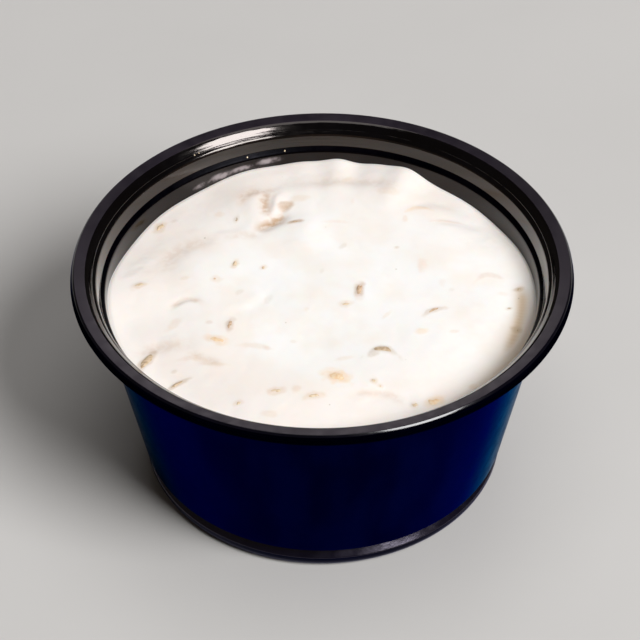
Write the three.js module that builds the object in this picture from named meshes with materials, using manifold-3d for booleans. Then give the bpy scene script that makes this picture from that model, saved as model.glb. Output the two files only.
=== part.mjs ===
// Tartar sauce in its small glossy portion cup.
//
// Millimetres, +Z up. The origin is the centre of the cup's foot, on the surface that it stands on,
// and the front of the cup faces -Y. Two solids: the cup, which is one closed profile turned about
// +Z, and the sauce, which fills it up to a spooned, folded surface with chopped bits in it.
import * as THREE from "three";
import { mergeVertices } from "three/addons/utils/BufferGeometryUtils.js";
import Module from "manifold-3d";

// ---- Driving dimensions of the cup ----
const cupHeight = 30.5; // foot to the rim's highest edge
const cupSegments = 80;

const rimInnerRadius = 29.36; // the rim's top slopes up from here
const rimInnerHeight = 30.26;
const rimOuterRadius = 30.7; // to its highest edge
const rimChamferRadius = 30.94; // its bevelled outer edge
const rimChamferHeight = 30.25;
const rimEdgeRadius = 31.08;
const rimEdgeHeight = 29.94;
const rimUnderHeight = 29.75; // underside of the rim
const skirtWaistRadius = 30.96; // slight hollow under the edge
const skirtWaistHeight = 29.74;
const skirtRadius = 31.2; // lower lip of the skirt, the cup's widest place
const skirtLipHeight = 29.36;
const skirtBottom = 29.25;
const skirtThickness = 0.5;

const leadInRadius = 29.02; // inner slope of the rim, steeper near the top
const leadInHeight = 30.05;
const threadRadius = 28.48; // fine line at the foot of the slope
const threadHeight = 29.4;
const neckTopRadius = 28.02; // steep band above the ledge
const neckTopHeight = 29.02;
const neckBottomRadius = 27.59;
const neckBottomHeight = 27.4;
const neckThickness = 1.06; // from the steep band to the outside, level
const ledgeRadius = 27.04; // inner edge of the ledge, where the straight wall starts
const ledgeHeight = 26.95;

const wallThickness = 0.9;
const shoulderRadius = 23.4; // lower end of the straight wall
const shoulderHeight = 3.4;
const footWaistRadius = 22.35; // groove between the wall and the foot
const footWaistHeight = 2.6;
const footFlareRadius = 23.14; // the foot flares out again to here
const footFlareHeight = 1.72;
const footCornerHeight = 0.45; // the foot's side rounds in under this height
const footRadius = 22.15; // edge of the flat that touches the surface
const recessRadius = 20.6; // shallow recess of the underside
const recessHeight = 1.0;
const recessSlope = 0.4;
const floorHeight = 2.0; // top of the cup's floor
const floorFillet = 2.2;

// ---- Driving dimensions of the sauce ----
const clearance = 0.3; // between the sauce and the cup
const shoreLevel = 25.25; // where the sauce meets the wall
const crownLevel = 25.72; // height of its middle
const shoulderWidth = 11.0; // the middle falls to the shore over this width
const topCells = 56; // cells across the surface, and a quarter of those round it

// The cup's straight wall leans out by the same amount at every height.
const wallSlope = (ledgeRadius + wallThickness - shoulderRadius) / (ledgeHeight - shoulderHeight);
const outerWallHeight = 26.75; // the outer wall ends here, under the steps of the rim
const outerWallRadius = ledgeRadius + wallThickness - wallSlope * (ledgeHeight - outerWallHeight);

/** Inner radius of the straight wall at a height. */
function innerRadius(height) {
  return ledgeRadius - wallSlope * (ledgeHeight - height);
}

// ---- Cup ----

/** Points of a quarter round from one point to another, bulging towards the corner. */
function quarterRound(from, corner, to, steps) {
  const curve = new THREE.QuadraticBezierCurve(
    new THREE.Vector2(...from),
    new THREE.Vector2(...corner),
    new THREE.Vector2(...to),
  );
  return curve.getPoints(steps);
}

/** Underside, foot with its groove, and outer wall, from the axis up to the rim. */
function outerProfile() {
  const ledgeLag = 0.45; // the outside follows the inner ledge a little higher
  const draft = 0.1; // over the short upright stretches under the rim
  return [
    new THREE.Vector2(0, recessHeight),
    new THREE.Vector2(recessRadius, recessHeight),
    new THREE.Vector2(recessRadius + recessSlope, 0),
    ...quarterRound([footRadius, 0], [footFlareRadius, footCornerHeight], [footFlareRadius, footFlareHeight], 3),
    new THREE.Vector2(footWaistRadius, footWaistHeight),
    new THREE.Vector2(shoulderRadius, shoulderHeight),
    new THREE.Vector2(outerWallRadius, outerWallHeight),
    new THREE.Vector2(neckBottomRadius + neckThickness, neckBottomHeight + ledgeLag),
    new THREE.Vector2(neckTopRadius + neckThickness, neckTopHeight),
    new THREE.Vector2(neckTopRadius + neckThickness + draft, rimUnderHeight),
  ];
}

/** Rim: its hollow underside, the skirt with its lower lip, the bevelled edge and the sloping top. */
function rimProfile() {
  const skirtInner = skirtRadius - skirtThickness;
  const draft = 0.1;
  return [
    new THREE.Vector2(skirtInner - draft, rimUnderHeight),
    new THREE.Vector2(skirtInner, skirtBottom),
    new THREE.Vector2(skirtRadius, skirtBottom),
    new THREE.Vector2(skirtRadius, skirtLipHeight),
    new THREE.Vector2(skirtWaistRadius, skirtWaistHeight),
    new THREE.Vector2(rimEdgeRadius, rimEdgeHeight),
    new THREE.Vector2(rimChamferRadius, rimChamferHeight),
    new THREE.Vector2(rimOuterRadius, cupHeight),
    new THREE.Vector2(rimInnerRadius, rimInnerHeight),
  ];
}

/** Inside: lead-in with its fine line, steep band, sloping ledge, straight wall and floor. */
function innerProfile() {
  return [
    new THREE.Vector2(leadInRadius, leadInHeight),
    new THREE.Vector2(threadRadius, threadHeight),
    new THREE.Vector2(neckTopRadius, neckTopHeight),
    new THREE.Vector2(neckBottomRadius, neckBottomHeight),
    new THREE.Vector2(ledgeRadius, ledgeHeight),
    ...quarterRound(
      [innerRadius(floorHeight + floorFillet), floorHeight + floorFillet],
      [innerRadius(floorHeight), floorHeight],
      [innerRadius(floorHeight) - floorFillet, floorHeight],
      3,
    ),
    new THREE.Vector2(0, floorHeight),
  ];
}

function cupGeometry() {
  const profile = [...outerProfile(), ...rimProfile(), ...innerProfile()];
  return new THREE.LatheGeometry(profile, cupSegments).rotateX(Math.PI / 2);
}

// ---- Relief of the sauce ----

// Folds are lobes of sauce with one soft edge. The crest runs from one point to another and bows to
// its left. On its right the sauce stands up by lip over lipWidth, and on its left it drops into a
// trough. Places are x and y.
const folds = [
  // the long edge of the middle lobe, near the back wall
  { from: [-12.4, 18.6], to: [13.0, 19.4], bow: 2.6, lip: 0.16, lipWidth: 3.4, trough: 0.08, troughWidth: 2.0 },
  // the lobe on the left, which runs into the swirl
  { from: [-15.5, 9.8], to: [-7.2, 12.1], bow: 0.4, lip: 0.12, lipWidth: 2.6, trough: 0.14, troughWidth: 1.7 },
  // short arcs at the back right
  { from: [11.2, 15.8], to: [17.9, 16.3], bow: 1.4, lip: 0.12, lipWidth: 1.8, trough: 0.16, troughWidth: 1.2 },
  { from: [14.0, 14.0], to: [21.3, 12.2], bow: 0.5, lip: 0.12, lipWidth: 2.2, trough: 0.16, troughWidth: 1.2 },
  // the small arc on the left and the plateau's edge in front of it
  { from: [-19.1, -3.4], to: [-14.6, -1.2], bow: 0.7, lip: 0.1, lipWidth: 1.2, trough: 0.14, troughWidth: 0.9 },
  { from: [-5.6, 2.3], to: [-15.2, -4.5], bow: 2.0, lip: 0.1, lipWidth: 2.6, trough: 0.12, troughWidth: 1.4 },
  // the smears at the front left, where the spoon left the cup
  { from: [-23.1, -11.6], to: [-18.3, -10.1], bow: 0.5, lip: 0.1, lipWidth: 1.3, trough: 0.12, troughWidth: 1.0 },
  { from: [-16.3, -13.4], to: [-10.8, -12.9], bow: 0.4, lip: 0.08, lipWidth: 1.5, trough: 0.1, troughWidth: 1.1 },
  // the rim of the dent at the front right
  { from: [4.6, -18.7], to: [11.9, -20.7], bow: 1.5, lip: -0.25, lipWidth: 2.2, trough: 0.0, troughWidth: 1.0 },
];

// Mounds and dents are rounded: half-length and half-width, turn of the long side, and height.
const mounds = [
  { at: [-6.9, 12.9], size: [2.6, 1.2], turn: 45, height: -0.45 }, // hollow of the swirl
  { at: [-6.9, 16.2], size: [2.6, 1.0], turn: 88, height: -0.14 }, // groove that runs on from it
  { at: [-5.6, 17.4], size: [2.0, 0.9], turn: 75, height: 0.2 }, // tongue folded into it
  { at: [-8.6, 17.2], size: [2.4, 1.4], turn: 80, height: 0.14 },
  { at: [-2.1, 11.8], size: [2.3, 3.0], turn: 0, height: 0.3 }, // lump on its right
  { at: [-10.5, 18.7], size: [3.0, 1.8], turn: 20, height: 0.2 },
  { at: [-19.0, 2.7], size: [5.0, 2.2], turn: -76, height: -0.14 },
  { at: [-13.2, 3.2], size: [6.5, 4.5], turn: 10, height: 0.16 },
  { at: [4.0, 9.2], size: [9.0, 7.0], turn: 0, height: 0.15 },
  { at: [13.5, -2.3], size: [6.0, 7.5], turn: 20, height: 0.12 },
  { at: [-1.5, -8.4], size: [7.0, 3.0], turn: -12, height: -0.1 },
  { at: [1.5, -18.9], size: [9.0, 4.5], turn: 0, height: 0.12 },
  { at: [-18.6, -14.0], size: [5.0, 2.4], turn: -40, height: -0.12 },
];

// The shore climbs the wall in places and dips beside: height, and where and how wide in degrees.
const shoreRises = [
  { rise: 0.77, azimuth: 181, width: 11 },
  { rise: -0.51, azimuth: 155, width: 13 },
  { rise: -0.31, azimuth: 130, width: 14 },
  { rise: 0.34, azimuth: 112, width: 10 },
  { rise: 0.35, azimuth: 95, width: 6 },
  { rise: 0.72, azimuth: 85, width: 5 },
  { rise: 0.46, azimuth: 74, width: 5 },
  { rise: 1.0, azimuth: 65, width: 6 },
  { rise: -0.26, azimuth: 52, width: 10 },
  { rise: -0.53, azimuth: 32, width: 13 },
  { rise: 0.2, azimuth: 0, width: 14 },
];

// The surface rounds down to the wall on the right, where the spoon dragged it away.
const rightShoulder = { drop: 0.2, azimuth: -12, width: 38, reach: 4.5 };

/** 0 at and below low, 1 at and above high, and smooth between them. */
function smoothstep(low, high, value) {
  const t = THREE.MathUtils.clamp((value - low) / (high - low), 0, 1);
  return t * t * (3 - 2 * t);
}

/** A bell of height 1: value is 0 at its middle. */
function bell(value, width) {
  return Math.exp(-((value / width) ** 2));
}

/** Smallest angle between two azimuths, in degrees. */
function azimuthGap(a, b) {
  return Math.abs(((a - b + 540) % 360) - 180);
}

/** Height of the sauce where it touches the wall, at an azimuth in degrees. */
function shoreHeight(azimuth) {
  const rises = shoreRises.map((rise) => rise.rise * bell(azimuthGap(azimuth, rise.azimuth), rise.width));
  return shoreLevel + rises.reduce((sum, rise) => sum + rise, 0);
}

function foldHeight(fold, x, y) {
  const endFade = 0.28;
  const crispness = 1.1; // half-width of the edge
  const along = new THREE.Vector2(...fold.to).sub(new THREE.Vector2(...fold.from));
  const length = along.length();
  along.divideScalar(length);
  const offset = new THREE.Vector2(x - fold.from[0], y - fold.from[1]);
  const u = offset.dot(along) / length;
  if (u <= 0 || u >= 1) {
    return 0;
  }
  const v = offset.y * along.x - offset.x * along.y - fold.bow * 4 * u * (1 - u);
  const fade = smoothstep(0, endFade, u) * smoothstep(0, endFade, 1 - u);
  const leftSide = (1 + Math.tanh(v / crispness)) / 2;
  const lip = fold.lip * bell(v, fold.lipWidth) * (1 - leftSide);
  const trough = fold.trough * bell(v, fold.troughWidth) * leftSide;
  return fade * (lip - trough);
}

function moundHeight(mound, x, y) {
  const turn = THREE.MathUtils.degToRad(mound.turn);
  const dx = x - mound.at[0];
  const dy = y - mound.at[1];
  const u = dx * Math.cos(turn) + dy * Math.sin(turn);
  const v = dy * Math.cos(turn) - dx * Math.sin(turn);
  return mound.height * bell(u, mound.size[0]) * bell(v, mound.size[1]);
}

/** Slow, uneven swell of a surface that was spooned and left to settle. */
function swell(x, y) {
  return (
    0.06 * Math.sin(0.31 * x + 0.17 * y + 0.6) +
    0.05 * Math.sin(-0.22 * x + 0.41 * y + 2.1) +
    0.03 * Math.sin(0.55 * x + 0.5 * y + 4.0)
  );
}

/** Height of the sauce's surface over a point. */
function sauceHeight(x, y) {
  const radius = Math.hypot(x, y);
  const azimuth = THREE.MathUtils.radToDeg(Math.atan2(y, x));
  const shore = shoreHeight(azimuth);
  const edge = innerRadius(shore);
  const inland = smoothstep(edge, edge - shoulderWidth, radius);
  const relief =
    folds.reduce((sum, fold) => sum + foldHeight(fold, x, y), 0) +
    mounds.reduce((sum, mound) => sum + moundHeight(mound, x, y), 0) +
    swell(x, y);
  const reliefFade = smoothstep(edge, edge - 2.5, radius);
  const drop =
    rightShoulder.drop *
    bell(azimuthGap(azimuth, rightShoulder.azimuth), rightShoulder.width) *
    bell(edge - radius, rightShoulder.reach) *
    reliefFade;
  return THREE.MathUtils.lerp(shore, crownLevel, inland) + relief * reliefFade - drop;
}

// ---- Body of the sauce ----

/** Maps a square of half-side 1 to a disc of radius 1, so that nested squares become rings. */
function squareToDisc(u, v) {
  const ring = Math.max(Math.abs(u), Math.abs(v));
  if (ring === 0) {
    return [0, 0];
  }
  const sideways = Math.abs(u) >= Math.abs(v);
  const start = sideways ? (u > 0 ? 0 : Math.PI) : Math.sign(v) * (Math.PI / 2);
  const turn = start + (Math.PI / 4) * (sideways ? v / u : -u / v);
  return [ring * Math.cos(turn), ring * Math.sin(turn)];
}

/** Vertices of the surface, row by row. Its outer ring lies clear of the wall. */
function surfaceVertices() {
  const vertices = [];
  for (let row = 0; row <= topCells; row += 1) {
    for (let column = 0; column <= topCells; column += 1) {
      const [u, v] = squareToDisc((2 * column) / topCells - 1, (2 * row) / topCells - 1);
      const azimuth = THREE.MathUtils.radToDeg(Math.atan2(v, u));
      const reach = innerRadius(shoreHeight(azimuth)) - clearance;
      vertices.push([u * reach, v * reach, sauceHeight(u * reach, v * reach)]);
    }
  }
  return vertices;
}

/** Triangles of the surface. Each cell is split along the side that points to the middle. */
function surfaceTriangles() {
  const triangles = [];
  const index = (row, column) => row * (topCells + 1) + column;
  for (let row = 0; row < topCells; row += 1) {
    for (let column = 0; column < topCells; column += 1) {
      const a = index(row, column);
      const b = index(row, column + 1);
      const c = index(row + 1, column + 1);
      const d = index(row + 1, column);
      const rising = row < topCells / 2 === column < topCells / 2;
      triangles.push(...(rising ? [[a, b, c], [a, c, d]] : [[a, b, d], [b, c, d]]));
    }
  }
  return triangles;
}

/** The surface's outer vertices, once round it, anticlockwise seen from above. */
function surfaceRim() {
  const rim = [];
  const stride = topCells + 1;
  for (let i = 0; i < topCells; i += 1) {
    rim.push(i);
  }
  for (let i = 0; i < topCells; i += 1) {
    rim.push(i * stride + topCells);
  }
  for (let i = topCells; i > 0; i -= 1) {
    rim.push(topCells * stride + i);
  }
  for (let i = topCells; i > 0; i -= 1) {
    rim.push(i * stride);
  }
  return rim;
}

/** The sauce without its bits: the surface, sides that follow the cup's wall, and a flat bottom. */
function plainSauceGeometry() {
  const vertices = surfaceVertices();
  const triangles = surfaceTriangles();
  let ring = surfaceRim();
  const bottom = floorHeight + clearance;
  const sideRings = [
    { height: bottom + floorFillet, radius: innerRadius(bottom + floorFillet) - clearance },
    { height: bottom, radius: innerRadius(bottom) - clearance - floorFillet },
  ];
  for (const side of sideRings) {
    const lower = ring.map((upper) => {
      const [x, y] = vertices[upper];
      const scale = side.radius / Math.hypot(x, y);
      return vertices.push([x * scale, y * scale, side.height]) - 1;
    });
    ring.forEach((upper, i) => {
      const next = (i + 1) % ring.length;
      triangles.push([upper, lower[i], lower[next]], [upper, lower[next], ring[next]]);
    });
    ring = lower;
  }
  const centre = vertices.push([0, 0, bottom]) - 1;
  ring.forEach((edge, i) => triangles.push([centre, ring[(i + 1) % ring.length], edge]));
  const geometry = new THREE.BufferGeometry();
  geometry.setAttribute("position", new THREE.Float32BufferAttribute(vertices.flat(), 3));
  geometry.setIndex(triangles.flat());
  return geometry;
}

// ---- Chopped bits ----

// The bits that stand out: place, length, width and turn. All lie half sunk in the surface.
const largeBits = [
  { at: [1.8, -15.7], size: [2.8, 2.0], turn: -22 }, // pale orange square
  { at: [-4.6, 17.1], size: [2.0, 1.4], turn: 36 }, // orange, in the swirl
  { at: [13.3, -19.8], size: [2.4, 1.5], turn: 12 }, // orange, at the front wall
  { at: [-12.9, -9.0], size: [3.0, 1.2], turn: -26 }, // yellow sliver
  { at: [-11.4, -6.3], size: [2.0, 1.1], turn: 82 }, // brown with a dark end
  { at: [4.7, 0.1], size: [2.3, 1.1], turn: 84 }, // brown
  { at: [-3.4, 13.5], size: [2.0, 0.8], turn: 6 }, // brown slit
  { at: [-21.4, -12.2], size: [3.5, 1.1], turn: 58 }, // olive strip
  { at: [-17.5, -16.3], size: [2.4, 0.7], turn: 38 }, // olive thread
  { at: [6.4, -11.4], size: [2.0, 0.9], turn: 20 }, // olive crescent, two halves
  { at: [8.1, -11.0], size: [1.8, 0.8], turn: -30 },
  { at: [13.8, -3.8], size: [2.8, 0.8], turn: 28 }, // olive curl
  { at: [-22.9, 1.2], size: [1.7, 0.9], turn: 28 }, // olive
  { at: [-20.9, 13.8], size: [2.0, 1.3], turn: 62 }, // tan
  { at: [-11.0, 5.3], size: [1.6, 1.0], turn: 75 }, // tan
  { at: [-5.6, -18.1], size: [2.0, 1.3], turn: 6 }, // tan
  { at: [12.2, -7.7], size: [1.4, 1.1], turn: 10 }, // peach
  { at: [12.7, 4.8], size: [2.2, 1.1], turn: 86 }, // peach
];
const bitHeight = 0.6; // of a large bit, top to bottom
const bitSunk = 0.12; // a bit's middle lies this far under the surface

// The small bits between them are strewn evenly by a golden-angle spiral.
const smallBitCount = 18;
const smallBitSize = [1.3, 0.9];
const strewRadius = 22.5;
const goldenAngle = Math.PI * (3 - Math.sqrt(5));

function smallBits() {
  return Array.from({ length: smallBitCount }, (_, i) => {
    const radius = strewRadius * Math.sqrt((i + 0.5) / smallBitCount);
    const angle = i * goldenAngle + 0.5;
    const growth = 0.8 + 0.4 * ((i * 0.37) % 1);
    return {
      at: [radius * Math.cos(angle), radius * Math.sin(angle)],
      size: smallBitSize.map((side) => side * growth),
      turn: (i * 67) % 180,
    };
  });
}

/** Small bits that would touch a large one are left out. */
function allBits() {
  const keepAway = 3.2;
  const apart = (a, b) => Math.hypot(a.at[0] - b.at[0], a.at[1] - b.at[1]) > keepAway;
  return [...largeBits, ...smallBits().filter((small) => largeBits.every((large) => apart(small, large)))];
}

/** One bit: a low-sided pebble, laid along the surface. */
function bitGeometry(bit) {
  const [x, y] = bit.at;
  return new THREE.IcosahedronGeometry(1, 0)
    .scale(bit.size[0] / 2, bit.size[1] / 2, bitHeight / 2)
    .rotateZ(THREE.MathUtils.degToRad(bit.turn))
    .translate(x, y, sauceHeight(x, y) - bitSunk);
}

// ---- Solids ----

const wasm = await Module();
wasm.setup();

/** A closed solid from a geometry whose vertices are shared. */
function solidOf(geometry) {
  return new wasm.Manifold(
    new wasm.Mesh({
      numProp: 3,
      vertProperties: geometry.attributes.position.array,
      triVerts: new Uint32Array(geometry.index.array),
    }),
  );
}

function geometryOf(solid) {
  const mesh = solid.getMesh();
  const geometry = new THREE.BufferGeometry();
  geometry.setAttribute("position", new THREE.BufferAttribute(mesh.vertProperties, 3));
  geometry.setIndex(new THREE.BufferAttribute(mesh.triVerts, 1));
  geometry.computeVertexNormals();
  return geometry;
}

/** Joins the corners that three.js polyhedra keep apart. */
function welded(geometry) {
  geometry.deleteAttribute("normal");
  geometry.deleteAttribute("uv");
  return mergeVertices(geometry);
}

function sauceGeometry() {
  const bits = allBits().map((bit) => solidOf(welded(bitGeometry(bit))));
  const whole = wasm.Manifold.union([solidOf(plainSauceGeometry()), ...bits]);
  return geometryOf(whole);
}

// ---- Scene graph ----

function namedMesh(name, geometry, colour, roughness) {
  const mesh = new THREE.Mesh(geometry, new THREE.MeshStandardMaterial({ color: colour, roughness }));
  mesh.name = name;
  return mesh;
}

const part = new THREE.Group();
part.add(namedMesh("cup", cupGeometry(), 0x0a1030, 0.25));
part.add(namedMesh("sauce", sauceGeometry(), 0xf7eee2, 0.45));

export default part;
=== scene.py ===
import math

import bpy
import numpy as np
from mathutils import Matrix, Vector


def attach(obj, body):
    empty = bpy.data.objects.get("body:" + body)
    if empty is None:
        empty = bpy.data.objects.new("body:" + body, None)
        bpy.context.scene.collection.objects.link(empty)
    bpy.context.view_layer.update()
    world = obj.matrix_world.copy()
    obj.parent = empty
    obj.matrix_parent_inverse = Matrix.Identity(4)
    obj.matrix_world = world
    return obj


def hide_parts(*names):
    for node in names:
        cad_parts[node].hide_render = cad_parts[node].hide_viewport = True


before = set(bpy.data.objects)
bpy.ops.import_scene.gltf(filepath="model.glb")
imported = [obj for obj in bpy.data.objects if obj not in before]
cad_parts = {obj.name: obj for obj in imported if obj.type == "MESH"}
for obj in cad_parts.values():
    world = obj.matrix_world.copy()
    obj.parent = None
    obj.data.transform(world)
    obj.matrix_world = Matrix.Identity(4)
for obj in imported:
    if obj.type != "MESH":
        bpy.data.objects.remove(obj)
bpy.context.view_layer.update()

MM = 0.001

# ---- Dimensions of the cup that the sauce needs ----
LEDGE_RADIUS = 27.04  # inner edge of the ledge, where the straight wall starts
LEDGE_HEIGHT = 26.95
WALL_THICKNESS = 0.9
SHOULDER_RADIUS = 23.4
SHOULDER_HEIGHT = 3.4
FLOOR_HEIGHT = 2.0
FLOOR_FILLET = 2.2
RIM_HEIGHT = 30.3  # of the rim's inner edge, which the camera aims at
WALL_SLOPE = (LEDGE_RADIUS + WALL_THICKNESS - SHOULDER_RADIUS) / (LEDGE_HEIGHT - SHOULDER_HEIGHT)

# ---- Cup: corners of its section, as radius, height, rounding and the finish of what follows ----
CUP_TURNS = 320
CORNER_STEPS = 6
WALL_RINGS = (0.6, 0.75, 0.9, 1.05, 1.2, 1.35, 1.5, 1.65, 1.8, 1.95, 2.1, 2.4)  # below the ledge
CUP_SECTION = [
    # underside and foot
    (0.0, 1.0, 0.0, "underside"),
    (20.6, 1.0, 0.2, "underside"),
    (21.0, 0.0, 0.15, "underside"),
    (22.15, 0.0, 0.1, "skirt"),
    (22.6, 0.3, 0.2, "skirt"),
    (22.9, 0.7, 0.2, "skirt"),
    (23.08, 1.15, 0.2, "skirt"),
    (23.14, 1.72, 0.16, "foot"),
    (22.35, 2.6, 0.12, "skirt"),
    # outer wall and the steps under the rim
    (23.4, 3.4, 0.35, "body"),
    (27.9, 26.75, 0.4, "body"),
    (28.65, 27.85, 0.4, "body"),
    (29.08, 29.02, 0.3, "dark"),
    (29.18, 29.75, 0.1, "dark"),
    # rim
    (30.6, 29.75, 0.1, "dark"),
    (30.7, 29.25, 0.12, "dark"),
    (31.2, 29.25, 0.1, "dark"),
    (31.2, 29.36, 0.08, "dark"),
    (30.96, 29.74, 0.07, "dark"),
    (31.08, 29.94, 0.06, "dark"),
    (30.94, 30.25, 0.12, "rim_edge"),
    (30.7, 30.5, 0.06, "rim_top"),
    (29.36, 30.26, 0.1, "lead_in"),
    # lead-in with its fine groove, steep neck band, ledge and straight wall
    (29.02, 30.05, 0.25, "lead_in"),
    (28.5, 29.45, 0.03, "lead_in"),
    (28.48, 29.38, 0.03, "lead_in"),
    (28.02, 29.02, 0.28, "neck"),
    (27.59, 27.4, 0.08, "ledge"),
    (LEDGE_RADIUS, LEDGE_HEIGHT, 0.3, "wall"),
    *[(LEDGE_RADIUS - WALL_SLOPE * drop, LEDGE_HEIGHT - drop, 0.0, "wall") for drop in WALL_RINGS],
    (LEDGE_RADIUS - WALL_SLOPE * (LEDGE_HEIGHT - FLOOR_HEIGHT), FLOOR_HEIGHT, FLOOR_FILLET, "lead_in"),
    (0.0, FLOOR_HEIGHT, 0.0, "lead_in"),
]

# Thin smears of sauce on the wall: azimuth, height, half-width, half-height and strength.
SMEAR_CORE = 0.5  # a smear has its full strength up to here
SMEAR_EDGE = 1.3
WALL_TOLERANCE = 0.05
SMEARS = [
    (119.7, 25.8, 1.5, 0.45, 0.85),
    (113.2, 25.95, 1.5, 0.34, 0.85),
    (105.0, 26.2, 1.5, 0.42, 0.95),
    (126.0, 25.6, 1.2, 0.3, 0.5),
]

# Small wet beads: azimuth, radius and height of the middle, and size.
BEADS = [
    (125.6, 28.5, 29.43, 0.1),
    (124.2, 28.52, 29.44, 0.09),
    (111.0, 27.25, 27.25, 0.12),
    (100.2, 27.22, 27.24, 0.12),
]

# ---- Sauce: the same relief as the solid's, with finer steps ----
SHORE_LEVEL = 25.25
CROWN_LEVEL = 25.72
SHOULDER_WIDTH = 11.0
SURFACE_CELLS = 280
WALL_BITE = 0.12  # the sauce reaches this far into the wall

# The places in the tables below were picked in the photograph and turned into millimetres outside
# this script.

# Folds: crest from, to, bow to its left, lip, lip width, trough, trough width.
FOLDS = [
    ((-12.4, 18.6), (13.0, 19.4), 2.6, 0.16, 3.4, 0.08, 2.0),
    ((-15.5, 10.6), (-7.2, 13.3), 0.4, 0.12, 2.6, 0.14, 1.7),
    ((11.2, 15.8), (17.9, 16.3), 1.4, 0.12, 1.8, 0.16, 1.2),
    ((14.0, 14.0), (21.3, 12.2), 0.5, 0.12, 2.2, 0.16, 1.2),
    ((-19.1, -3.4), (-14.6, -1.2), 0.7, 0.1, 1.2, 0.14, 0.9),
    ((-5.6, 2.3), (-15.2, -4.5), 2.0, 0.1, 2.6, 0.12, 1.4),
    ((-23.1, -11.6), (-18.3, -10.1), 0.5, 0.1, 1.3, 0.12, 1.0),
    ((-16.3, -13.4), (-10.8, -12.9), 0.4, 0.08, 1.5, 0.1, 1.1),
    ((4.6, -18.7), (11.9, -20.7), 1.5, -0.25, 2.2, 0.0, 1.0),
]
FOLD_CRISPNESS = 1.1
FOLD_END_FADE = 0.28
RELIEF_FADE = 2.5  # the relief dies out over this much before the edge
EDGE_ROLL_DEPTH = 0.12
EDGE_ROLL_WIDTH = 0.25

# Slow waves of the surface: height, pace along x and y, and phase.
SWELLS = [
    (0.06, 0.31, 0.17, 0.6),
    (0.05, -0.22, 0.41, 2.1),
    (0.03, 0.55, 0.5, 4.0),
]

# Fine unevenness: height, noise cells a millimetre and seed.
RIPPLES = [(0.035, 0.55, 1), (0.014, 1.3, 2)]

# Mounds and dents: place, half-length and half-width, turn and height.
MOUNDS = [
    ((-6.2, 13.8), (3.0, 1.3), 45, -0.3),
    ((-5.6, 17.4), (2.0, 0.9), 75, 0.16),
    ((-8.6, 17.2), (2.4, 1.4), 80, 0.14),
    ((-2.1, 11.8), (2.3, 3.0), 0, 0.3),
    ((-10.5, 18.7), (3.0, 1.8), 20, 0.2),
    ((-19.0, 2.7), (5.0, 2.2), -76, -0.14),
    ((-13.2, 3.2), (6.5, 4.5), 10, 0.16),
    ((4.0, 9.2), (9.0, 7.0), 0, 0.15),
    ((13.5, -2.3), (6.0, 7.5), 20, 0.12),
    ((-1.5, -8.4), (7.0, 3.0), -12, -0.1),
    ((1.5, -18.9), (9.0, 4.5), 0, 0.12),
    ((-18.6, -14.0), (5.0, 2.4), -40, -0.12),
]

# Strokes of the spoon, finer than the solid's relief: points, half-width, height and tint. The tint is a
# brown colour in the stroke, partly the sauce's own tone and partly painted shade in its fold.
STROKES = [
    # the swirl: its deep fold, the groove on its left and the tongue between them
    ([(-8.5, 12.0), (-7.0, 13.3), (-5.8, 14.2), (-5.1, 15.6)], 0.95, -0.2, 1.0),
    ([(-5.1, 15.6), (-4.6, 16.8), (-3.8, 18.0)], 0.5, -0.16, 0.5),
    ([(-6.8, 20.0), (-7.4, 18.2), (-7.3, 16.2), (-6.6, 15.0)], 0.7, -0.1, 0.8),
    ([(-5.6, 19.6), (-6.0, 17.8), (-6.0, 16.2)], 0.5, 0.12, 0.0),
    # the slit of the lump beside it
    ([(-4.4, 13.3), (-3.4, 13.6), (-2.5, 13.5)], 0.35, -0.08, 0.6),
    # edges of the lobes on its left
    ([(-10.6, 17.0), (-10.2, 18.9), (-9.3, 19.5), (-7.8, 20.1), (-5.4, 20.3)], 0.8, -0.08, 0.55),
    ([(-12.6, 10.6), (-10.7, 11.2), (-9.2, 11.2), (-7.7, 11.4)], 0.8, -0.08, 0.3),
    ([(-20.0, 3.0), (-19.3, 7.3), (-17.1, 9.3), (-13.2, 9.8)], 1.4, -0.06, 0.3),
    # the valley behind the middle lobe
    ([(-5.0, 21.6), (-0.4, 21.9), (3.8, 22.4), (6.4, 22.1), (8.4, 21.1), (10.4, 20.0)], 0.9, -0.04, 0.22),
    # small arcs at the left and the front
    ([(-19.3, -3.5), (-17.9, -1.9), (-16.4, -1.4), (-14.5, -2.6)], 0.45, -0.1, 0.5),
    ([(2.8, -19.2), (5.8, -18.3), (8.1, -18.7), (9.6, -20.7)], 0.6, -0.08, 0.3),
    ([(-22.7, -11.4), (-19.6, -9.8), (-15.5, -9.8)], 1.0, -0.08, 0.3),
    ([(-16.4, -11.2), (-14.5, -12.1), (-12.2, -13.7)], 0.6, -0.06, 0.4),
]
STROKE_SAMPLES = 28

# Climbs and dips of the shore: rise, and azimuth and width in degrees. The rises are not set by hand: a
# least-squares fit to the sauce's edge in the photograph gave them, outside this script.
SHORE_RISES = [
    (0.77, 181, 11),
    (-0.51, 155, 13),
    (-0.31, 130, 14),
    (0.34, 112, 10),
    (0.35, 95, 6),
    (0.72, 85, 5),
    (0.46, 74, 5),
    (1.0, 65, 6),
    (-0.26, 52, 10),
    (-0.53, 32, 13),
    (0.2, 0, 14),
]
RIGHT_DROP = 0.2
RIGHT_AZIMUTH = -12
RIGHT_WIDTH = 38
RIGHT_REACH = 4.5
PAINTED_SHADE_AZIMUTH = -34  # a brown tint along the wall here is painted shade of the wall's shadow on the sauce
PAINTED_SHADE_WIDTH = 22
PAINTED_SHADE_REACH = 2.0
WARM_REACH = (9.0, 23.0)  # the sauce is warmer in colour towards its edge, except on the right
WARM_GAP = 42
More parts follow.
